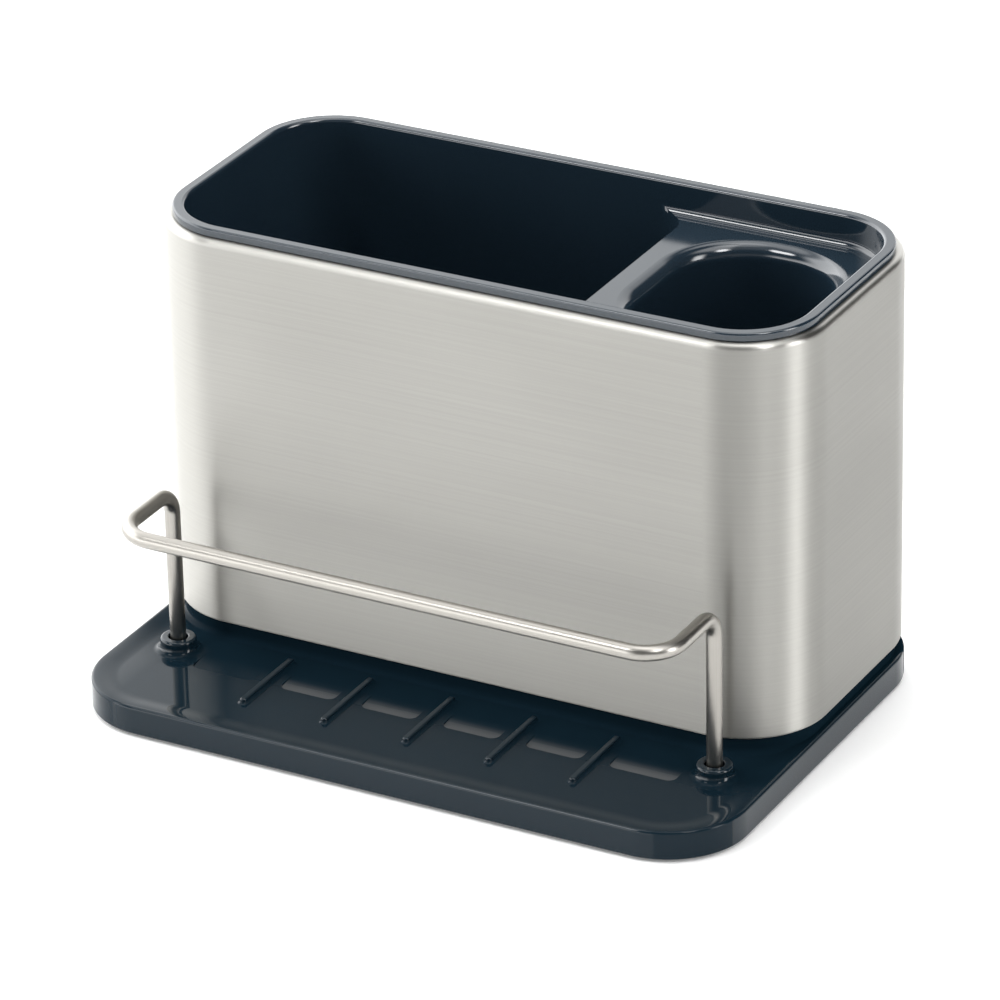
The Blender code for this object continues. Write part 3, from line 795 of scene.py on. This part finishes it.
def make_sleeve():
    """Thin sheet bent into a rounded loop, turned in along its top and its foot."""
    sheet = SLEEVE_SHEET
    top = SLEEVE_TOP_BEND
    foot = SLEEVE_FOOT_BEND
    low, high = sleeve_low.z, sleeve_high.z
    outside = [(-SLEEVE_FOOT_LIP, low)]
    outside += arc(-foot, low + foot, foot, -90, 0)
    outside += arc(-top, high - top, top, 0, 90, FILLET_STEPS)
    outside.append((-SLEEVE_TOP_LIP, high))
    inside = [(-SLEEVE_TOP_LIP, high - sheet)]
    inside += arc(-top, high - top, top - sheet, 90, 0, FILLET_STEPS)
    inside += arc(-foot, low + foot, foot - sheet, 0, -90)
    inside.append((-SLEEVE_FOOT_LIP, low + sheet))
    rings = stack(sleeve_outline(), outside + inside)
    mesh_data = bmesh.new()
    add_loft(mesh_data, rings, closed=True)
    sleeve = finish_mesh("sleeve", mesh_data)
    smooth_edges(sleeve.data)
    unwrap_grid(sleeve, rings)
    sleeve.modifiers.new("even shading", "WEIGHTED_NORMAL").keep_sharp = True
    apply_modifiers(sleeve)
    return sleeve


def rail_path():
    """The wire's middle line: posts, arms and front bar, joined by quarter-circle bends."""
    half = rail_high.x - WIRE_RADIUS
    post_y = rail_high.y - WIRE_RADIUS
    bar_y = rail_low.y + WIRE_RADIUS
    bottom, top = rail_low.z, rail_high.z - WIRE_RADIUS
    corners = [
        Vector((-half, post_y, bottom)),
        Vector((-half, post_y, top)),
        Vector((-half, bar_y, top)),
        Vector((half, bar_y, top)),
        Vector((half, post_y, top)),
        Vector((half, post_y, bottom)),
    ]
    bends = [RAIL_POST_BEND, RAIL_CORNER_BEND, RAIL_CORNER_BEND, RAIL_POST_BEND]
    path = [corners[0]]
    for before, corner, after, bend in zip(corners, corners[1:], corners[2:], bends):
        back = (before - corner).normalized() * bend
        ahead = (after - corner).normalized() * bend
        for step in range(BEND_STEPS + 1):
            angle = pi / 2 * step / BEND_STEPS
            path.append(corner + back * (1 - sin(angle)) + ahead * (1 - cos(angle)))
    path.append(corners[-1])
    return path


def wire_ring(centre, along, side, radius):
    """A circle of points around the wire's line."""
    other = along.cross(side).normalized()
    points = []
    for step in range(WIRE_STEPS):
        angle = 2 * pi * step / WIRE_STEPS
        points.append(centre + radius * (cos(angle) * side + sin(angle) * other))
    return points


def make_rail():
    """A round tube along the rail's line, with softened cut ends."""
    path = rail_path()
    side = Vector((1.0, 0.0, 0.0))
    along = [(after - before).normalized() for before, after in zip(path, path[1:])]
    turns = [along[0]] + [(a + b).normalized() for a, b in zip(along, along[1:])] + [along[-1]]
    soft = WIRE_END_RADIUS
    rings = []
    for place, (centre, towards) in enumerate(zip(path, turns)):
        side = (side - towards * side.dot(towards)).normalized()
        ends = arc(0.0, 0.0, soft, 0, 90)
        if place == 0:
            for lift, drop in reversed(ends):
                rings.append(wire_ring(centre + towards * (soft - drop), towards, side,
                                       WIRE_RADIUS - soft + lift))
        elif place == len(path) - 1:
            for lift, drop in ends:
                rings.append(wire_ring(centre - towards * (soft - drop), towards, side,
                                       WIRE_RADIUS - soft + lift))
        else:
            rings.append(wire_ring(centre, towards, side, WIRE_RADIUS))
    mesh_data = bmesh.new()
    add_loft(mesh_data, rings)
    rail = finish_mesh("rail", mesh_data)
    smooth_edges(rail.data)
    unwrap_rail(rail, rings)
    return rail


def unwrap_rail(rail, rings):
    """Lays the wire's surface out flat: around the wire, and along it."""
    layer = rail.data.uv_layers.new(name=UV_NAME)
    around = lengths(rings[len(rings) // 2])
    along = lengths([ring[0] for ring in rings])
    count = len(rings[0])
    for face in rail.data.polygons:
        columns = [index % count for index in face.vertices]
        wraps = max(columns) - min(columns) > 1 and len(columns) == 4
        for loop, index, column in zip(face.loop_indices, face.vertices, columns):
            u = around[count] if wraps and column == 0 else around[column]
            layer.data[loop].uv = (along[index // count], u)


class Nodes:
    """Adds and joins the nodes of one material or world."""

    def __init__(self, tree):
        self.tree = tree

    def add(self, kind, inputs=None, **settings):
        node = self.tree.nodes.new(kind)
        for name, value in settings.items():
            setattr(node, name, value)
        for name, value in (inputs or {}).items():
            self.feed(node.inputs[name], value)
        return node

    def feed(self, socket, value):
        """Joins an output to a socket, or writes a plain value on it."""
        if isinstance(value, bpy.types.NodeSocket):
            self.tree.links.new(value, socket)
        else:
            socket.default_value = value

    def place(self):
        """The piece's own coordinates, in metres."""
        return self.add("ShaderNodeTexCoord").outputs["Object"]

    def split(self, vector):
        """The x, y and z of a vector."""
        return self.add("ShaderNodeSeparateXYZ", {0: vector}).outputs

    def maths(self, operation, first, second=0.0):
        return self.add("ShaderNodeMath", {0: first, 1: second}, operation=operation).outputs[0]

    def span(self, value, low, high, to_low=0.0, to_high=1.0, smooth=True):
        """Maps one range onto another, held at both ends."""
        kind = "SMOOTHSTEP" if smooth else "LINEAR"
        inputs = {"Value": value, "From Min": low, "From Max": high, "To Min": to_low,
                  "To Max": to_high}
        return self.add("ShaderNodeMapRange", inputs, interpolation_type=kind).outputs[0]

    def noise(self, vector, scale, detail=2.0, roughness=0.5):
        inputs = {"Vector": vector, "Scale": scale, "Detail": detail, "Roughness": roughness}
        return self.add("ShaderNodeTexNoise", inputs).outputs["Fac"]

    def spread(self, noise, to_low=0.0, to_high=1.0, smooth=True):
        """Maps the middle of a noise's range, which holds most of its values."""
        return self.span(noise, *NOISE_MIDDLE, to_low, to_high, smooth)

    def stretched(self, vector, scales):
        inputs = {"Vector": vector, "Scale": scales}
        return self.add("ShaderNodeMapping", inputs).outputs[0]

    def blend(self, share, first, second):
        """A colour between two colours."""
        node = self.add("ShaderNodeMix", data_type="RGBA")
        self.feed(node.inputs[0], share)
        for index, colour in ((6, first), (7, second)):
            self.feed(node.inputs[index], (*colour, 1.0) if isinstance(colour, tuple) else colour)
        return node.outputs[2]

    def bump(self, height, depth, normal=None):
        inputs = {"Height": height, "Distance": depth, "Strength": 1.0}
        if normal is not None:
            inputs["Normal"] = normal
        return self.add("ShaderNodeBump", inputs).outputs[0]


def new_material(name):
    finish = bpy.data.materials.new(name)
    finish.use_nodes = True
    return finish, Nodes(finish.node_tree), finish.node_tree.nodes["Principled BSDF"]


def moulded_surface(nodes, place, colour, lighter, gloss, dull):
    """The colour, roughness and bump of a moulded plastic: mottled, grained and scratched."""
    mottle = nodes.noise(place, *MOTTLE)
    fine = nodes.noise(place, *GRAIN)
    scratches = nodes.noise(nodes.stretched(place, SCRATCH_SCALES), *SCRATCHES)
    marks = nodes.span(scratches, *SCRATCH_RANGE)
    wobble = nodes.noise(place, *WOBBLE)
    base_gloss = nodes.spread(mottle, gloss, dull)
    rough = nodes.maths("ADD", base_gloss, nodes.maths("MULTIPLY", marks, SCRATCH_DULLING))
    normal = nodes.bump(fine, GRAIN_DEPTH, nodes.bump(wobble, WOBBLE_DEPTH))
    return nodes.blend(mottle, colour, lighter), rough, normal


def dress_shader(nodes, shader, surface):
    """Gives a plastic's shader the colour, roughness and bump of a surface."""
    for name, value in zip(("Base Color", "Roughness", "Normal"), surface):
        nodes.feed(shader.inputs[name], value)
    shader.inputs["IOR"].default_value = PLASTIC_IOR


def plastic(name, colour, lighter, gloss, dull, shine_share):
    """A moulded plastic that shines alike all over."""
    finish, nodes, shader = new_material(name)
    surface = moulded_surface(nodes, nodes.place(), colour, lighter, gloss, dull)
    dress_shader(nodes, shader, surface)
    shader.inputs["Specular IOR Level"].default_value = shine_share
    return finish


def tray_edges(nodes, x, y, z):
    """One on the tray's outer edge and on what stands up before the plinth, else nought."""
    side = tray_high.x - TRAY_EDGE_RADIUS
    front = tray_low.y + TRAY_EDGE_RADIUS
    back = tray_high.y - TRAY_EDGE_RADIUS
    plinth_front = sleeve_low.y + PLINTH_FRONT_SETBACK
    across = nodes.span(nodes.maths("ABSOLUTE", x), side - SHINE_MARGIN, side)
    along = nodes.span(y, front, front + SHINE_MARGIN, 1.0, 0.0)
    brim = nodes.span(z, TRAY_TOP - BRIM_BOTTOM, TRAY_TOP - BRIM_TOP, BRIM_SHARE, 1.0)
    along = nodes.maths("MULTIPLY", along, brim)
    behind = nodes.span(y, back - SHINE_MARGIN, back)
    above = nodes.span(z, TRAY_TOP + RAISED_FROM, TRAY_TOP + RAISED_FULLY)
    before = nodes.span(y, plinth_front - RAISED_CLEAR, plinth_front - RAISED_NEAR, 1.0, 0.0)
    raised = nodes.maths("MULTIPLY", above, before)
    outside = nodes.maths("MAXIMUM", nodes.maths("MAXIMUM", across, along), behind)
    return nodes.maths("MAXIMUM", outside, raised)


def tray_shine(nodes, place, flat_share, edge_share):
    """How strongly the tray shines: more on its edges, and less on its flat.

    The flat shines at its front and its left side, and not beside the plinth.
    """
    x, y, z = nodes.split(place)
    left_edge = -(tray_high.x - TRAY_EDGE_RADIUS)
    plinth_front = sleeve_low.y + PLINTH_FRONT_SETBACK
    edge = tray_edges(nodes, x, y, z)
    flat = nodes.span(y, plinth_front - FLAT_SHINE_FROM, plinth_front - FLAT_SHINE_TO,
                      flat_share, 0.0)
    left = nodes.span(x, left_edge, left_edge + LEFT_SHINE_WIDTH, LEFT_SHARE * edge_share, 0.0)
    fading = nodes.span(y, plinth_front - LEFT_SHINE_DEPTH, plinth_front, 1.0, LEFT_SHINE_LEAST)
    flat = nodes.maths("MAXIMUM", flat, nodes.maths("MULTIPLY", left, fading))
    rest = nodes.maths("MULTIPLY", nodes.maths("SUBTRACT", 1.0, edge), flat)
    return nodes.maths("ADD", nodes.maths("MULTIPLY", edge, edge_share), rest)


def shine_by_place(nodes, shader, place):
    """Sets the tray's shine, with the edges' level as the value that holds without the link."""
    level = shader.inputs["Specular IOR Level"]
    level.default_value = TRAY_EDGE_SHINE
    nodes.feed(level, tray_shine(nodes, place, TRAY_FLAT_SHINE, TRAY_EDGE_SHINE))


def tray_finish(name):
    finish, nodes, shader = new_material(name)
    place = nodes.place()
    dress_shader(nodes, shader, moulded_surface(nodes, place, *TRAY_COLOURS, *TRAY_ROUGHNESS))
    shine_by_place(nodes, shader, place)
    return finish


def scoop_finish(name):
    """The tray's plastic, finely roughened and painted with a pale sheen in the deep front half
    of each scoop.
    """
    finish, nodes, shader = new_material(name)
    place = nodes.place()
    base, rough, normal = moulded_surface(nodes, place, *TRAY_COLOURS, *TRAY_ROUGHNESS)
    front = tray_low.y + SCOOP_FROM_FRONT
    satin_and_sheen = nodes.span(nodes.split(place)[1], front + SATIN_AND_SHEEN_FROM, front + SATIN_AND_SHEEN_TO, 1.0, 0.0)
    grain = nodes.noise(place, *SATIN_GRAIN)
    mottle = nodes.noise(place, *SATIN_MOTTLE)
    # Painted sheen: the pale colour, full at the scoop's front and gone towards its back
    lighter = tuple(PAINTED_SHEEN_LIGHTENING * share for share in PAINTED_SHEEN_COLOUR)
    painted_sheen = nodes.blend(mottle, PAINTED_SHEEN_COLOUR, lighter)
    satin = nodes.maths("MULTIPLY", satin_and_sheen, nodes.spread(mottle, *SATIN_ROUGHNESS))
    glossy = nodes.maths("MULTIPLY", rough, nodes.maths("SUBTRACT", 1.0, satin_and_sheen))
    roughened = nodes.bump(nodes.maths("MULTIPLY", grain, satin_and_sheen), SATIN_DEPTH, normal)
    surface = nodes.blend(satin_and_sheen, base, painted_sheen), nodes.maths("ADD", satin, glossy), roughened
    dress_shader(nodes, shader, surface)
    shine_by_place(nodes, shader, place)
    return finish


def sleeve_zones(nodes):
    """Where the sleeve's top edge is rolled, and where its walls face front or back."""
    place = nodes.add("ShaderNodeTexCoord").outputs
    z = nodes.split(place["Object"])[2]
    sideways = nodes.maths("ABSOLUTE", nodes.split(place["Normal"])[0])
    bend_start = sleeve_high.z - SLEEVE_TOP_BEND
    rolled = nodes.span(z, bend_start, bend_start + ROLL_FADE)
    facing = nodes.span(sideways, *FACING_RANGE, 1.0, 0.0)
    return rolled, facing


def brushed_steel(name, colour, darker, streaks, roughness, anisotropy, depth, zones=None):
    """Metal with fine lines along the u direction and a highlight drawn out across them."""
    finish, nodes, shader = new_material(name)
    flat = nodes.add("ShaderNodeUVMap", uv_map=UV_NAME).outputs[0]
    wider = tuple(scale / BROADENING for scale in streaks)
    fine = nodes.noise(nodes.stretched(flat, streaks), *FINE_STREAKS)
    broad = nodes.noise(nodes.stretched(flat, wider), *BROAD_STREAKS)
    cloud = nodes.noise(nodes.stretched(flat, CLOUD_SCALES), *CLOUD)
    tone = nodes.maths("ADD", nodes.maths("MULTIPLY", fine, FINE_SHARE),
                       nodes.maths("MULTIPLY", broad, BROAD_SHARE))
    nodes.feed(shader.inputs["Base Color"],
               nodes.blend(nodes.spread(tone, smooth=False), darker, colour))
    uneven = nodes.spread(cloud, roughness - CLOUD_ROUGHNESS, roughness + CLOUD_ROUGHNESS)
    lines = nodes.maths("MULTIPLY", nodes.maths("SUBTRACT", fine, 0.5), LINE_ROUGHNESS)
    rough = nodes.maths("ADD", uneven, lines)
    if zones:
        rolled, facing = zones(nodes)
        smoother = nodes.maths("SUBTRACT", 1.0, nodes.maths("MULTIPLY", rolled, ROLL_SMOOTHING))
        rough = nodes.maths("ADD", rough, nodes.maths("MULTIPLY", facing, FACING_ROUGHNESS))
        rough = nodes.maths("MULTIPLY", rough, smoother)
    nodes.feed(shader.inputs["Roughness"], rough)
    nodes.feed(shader.inputs["Normal"], nodes.bump(fine, depth))
    tangent = nodes.add("ShaderNodeTangent", direction_type="UV_MAP", uv_map=UV_NAME)
    nodes.feed(shader.inputs["Tangent"], tangent.outputs[0])
    shader.inputs["Metallic"].default_value = 1.0
    shader.inputs["Anisotropic"].default_value = anisotropy
    shader.inputs["Anisotropic Rotation"].default_value = QUARTER_TURN
    return finish


def rubber(name):
    finish, nodes, shader = new_material(name)
    place = nodes.place()
    grain = nodes.noise(place, *RUBBER_GRAIN)
    dust = nodes.noise(place, *RUBBER_DUST)
    nodes.feed(shader.inputs["Base Color"], nodes.blend(dust, *RUBBER_COLOURS))
    nodes.feed(shader.inputs["Roughness"],
               nodes.span(grain, *RUBBER_GRAIN_RANGE, *RUBBER_ROUGHNESS))
    nodes.feed(shader.inputs["Normal"], nodes.bump(grain, RUBBER_GRAIN_DEPTH))
    return finish


def mark_scoop_floors(tray):
    """The floors of the scoops take the tray's second finish, with its painted sheen, but for the
    leftmost one.
    """
    front = tray_low.y + SCOOP_FROM_FRONT
    satin_spans = scoop_spans()[:-1]
    for face in tray.data.polygons:
        middle = face.center
        in_scoop = any(left < middle.x < right for left, right in satin_spans)
        in_length = front < middle.y < front + SCOOP_LENGTH
        in_depth = HOLLOW_TOP < middle.z < TRAY_FLAT - SAME_POINT
        if in_scoop and in_length and in_depth and face.normal.z > FLOOR_LEAST_RISE:
            face.material_index = 1


def studio_world():
    """A bright studio, as directions around the object."""
    world = bpy.data.worlds.new("studio")
    bpy.context.scene.world = world
    world.use_nodes = True
    nodes = Nodes(world.node_tree)
    background = world.node_tree.nodes["Background"]
    direction = nodes.add("ShaderNodeTexCoord").outputs["Generated"]
    x, y, z = nodes.split(direction)
    azimuth = nodes.maths("ARCTAN2", x, nodes.maths("MULTIPLY", y, -1.0))
    degrees = nodes.maths("MULTIPLY", azimuth, TO_DEGREES)
    height = nodes.maths("MULTIPLY", nodes.maths("ARCSINE", z), TO_DEGREES)
    total = WORLD_LEVEL
    for start, stop, soft, strength in OVERHEAD:
        high = nodes.span(height, *OVERHEAD_RISE, 0.0, strength)
        part = nodes.maths("MULTIPLY", zone(nodes, degrees, start, stop, soft), high)
        total = nodes.maths("ADD", part, total)
    total = nodes.maths("ADD", nodes.span(height, *ZENITH_RISE, 0.0, ZENITH_STRENGTH), total)
    for start, stop, soft, top, strength in RING:
        low = nodes.span(height, top - RING_SOFTNESS, top + RING_SOFTNESS, strength, 0.0)
        part = nodes.maths("MULTIPLY", zone(nodes, degrees, start, stop, soft), low)
        total = nodes.maths("ADD", part, total)
    for settings in LAMPS:
        total = nodes.maths("ADD", total, lamp(nodes, direction, *settings))
    nodes.feed(background.inputs["Color"], WHITE)
    nodes.feed(background.inputs["Strength"], total)


def lamp(nodes, direction, azimuth, elevation, size, strength):
    """A small round light with a soft edge, in one direction."""
    around, up = radians(azimuth), radians(elevation)
    towards = (sin(around) * cos(up), -cos(around) * cos(up), sin(up))
    inputs = {0: direction, 1: towards}
    share = nodes.add("ShaderNodeVectorMath", inputs, operation="DOT_PRODUCT").outputs["Value"]
    return nodes.span(share, cos(radians(size)), cos(radians(size / 2)), 0.0, strength)


def zone(nodes, value, start, stop, soft):
    """One inside a range and nought outside, with soft edges."""
    rise = nodes.span(value, start - soft, start + soft)
    fall = nodes.span(value, stop - soft, stop + soft, 1.0, 0.0)
    return nodes.maths("MULTIPLY", rise, fall)


def studio_floor():
    mesh_data = bmesh.new()
    bmesh.ops.create_grid(mesh_data, x_segments=1, y_segments=1, size=FLOOR_SIZE / 2)
    floor = finish_mesh("studio_floor", mesh_data)
    finish, nodes, shader = new_material("floor_paper")
    uneven = nodes.noise(nodes.place(), FLOOR_NOISE_SCALE)
    nodes.feed(shader.inputs["Roughness"], nodes.spread(uneven, *FLOOR_ROUGHNESS))
    shader.inputs["Base Color"].default_value = FLOOR_COLOUR
    shader.inputs["Specular IOR Level"].default_value = 0.0
    shader.inputs["Emission Color"].default_value = FLOOR_COLOUR
    shader.inputs["Emission Strength"].default_value = FLOOR_GLOW
    floor.data.materials.append(finish)


def place_camera():
    camera = bpy.data.cameras.new("camera")
    camera.sensor_width = CAMERA_SENSOR
    camera.lens = CAMERA_SENSOR * FOCAL_SHARE
    camera.clip_start, camera.clip_end = CAMERA_CLIP
    item = bpy.data.objects.new("camera", camera)
    bpy.context.scene.collection.objects.link(item)
    azimuth, elevation = CAMERA_AZIMUTH, CAMERA_ELEVATION
    back = Vector((sin(azimuth) * cos(elevation), -cos(azimuth) * cos(elevation), sin(elevation)))
    right = Vector((cos(azimuth), sin(azimuth), 0.0))
    up = back.cross(right)
    turned_right = cos(CAMERA_ROLL) * right + sin(CAMERA_ROLL) * up
    turned_up = -sin(CAMERA_ROLL) * right + cos(CAMERA_ROLL) * up
    turn = Matrix((turned_right, turned_up, back)).transposed().to_4x4()
    item.matrix_world = Matrix.Translation(CAMERA_PLACE) @ turn
    bpy.context.scene.camera = item


def dress(piece, node, body, slot, *finishes):
    """Gives a piece its finishes, and puts it on a body in place of a node."""
    for finish in finishes:
        piece.data.materials.append(finish)
    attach(piece, body)
    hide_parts(node)


def main():
    place_camera()
    bpy.context.scene.view_settings.view_transform = "Standard"
    studio_world()
    studio_floor()
    tray_plastic = tray_finish("tray_gloss")
    # The scoops' finish: satin, with a pale sheen painted on their fronts
    scoop_plastic = scoop_finish("scoop_satin_and_painted_sheen")
    caddy_plastic = plastic("caddy_gloss", *CADDY_COLOURS, *CADDY_ROUGHNESS, CADDY_SHINE)
    sheet = brushed_steel("sheet_steel", *SHEET_COLOURS, SHEET_STREAKS, SHEET_ROUGHNESS,
                          SHEET_ANISOTROPY, SHEET_DEPTH, sleeve_zones)
    wire = brushed_steel("wire_steel", *WIRE_COLOURS, WIRE_STREAKS, WIRE_ROUGHNESS,
                         WIRE_ANISOTROPY, WIRE_DEPTH)
    feet = rubber("foot_rubber")
    tray = make_tray()
    dress(tray, "base_tray", "base", "tray_plastic", tray_plastic, scoop_plastic)
    mark_scoop_floors(tray)
    dress(make_liner(), "caddy_liner", "caddy", "caddy_plastic", caddy_plastic)
    dress(make_sleeve(), "steel_sleeve", "sleeve", "sleeve_steel", sheet)
    dress(make_rail(), "wire_rail", "rail", "rail_steel", wire)
    for name in FEET:
        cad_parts[name].data.materials.clear()
        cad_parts[name].data.materials.append(feet)


main()
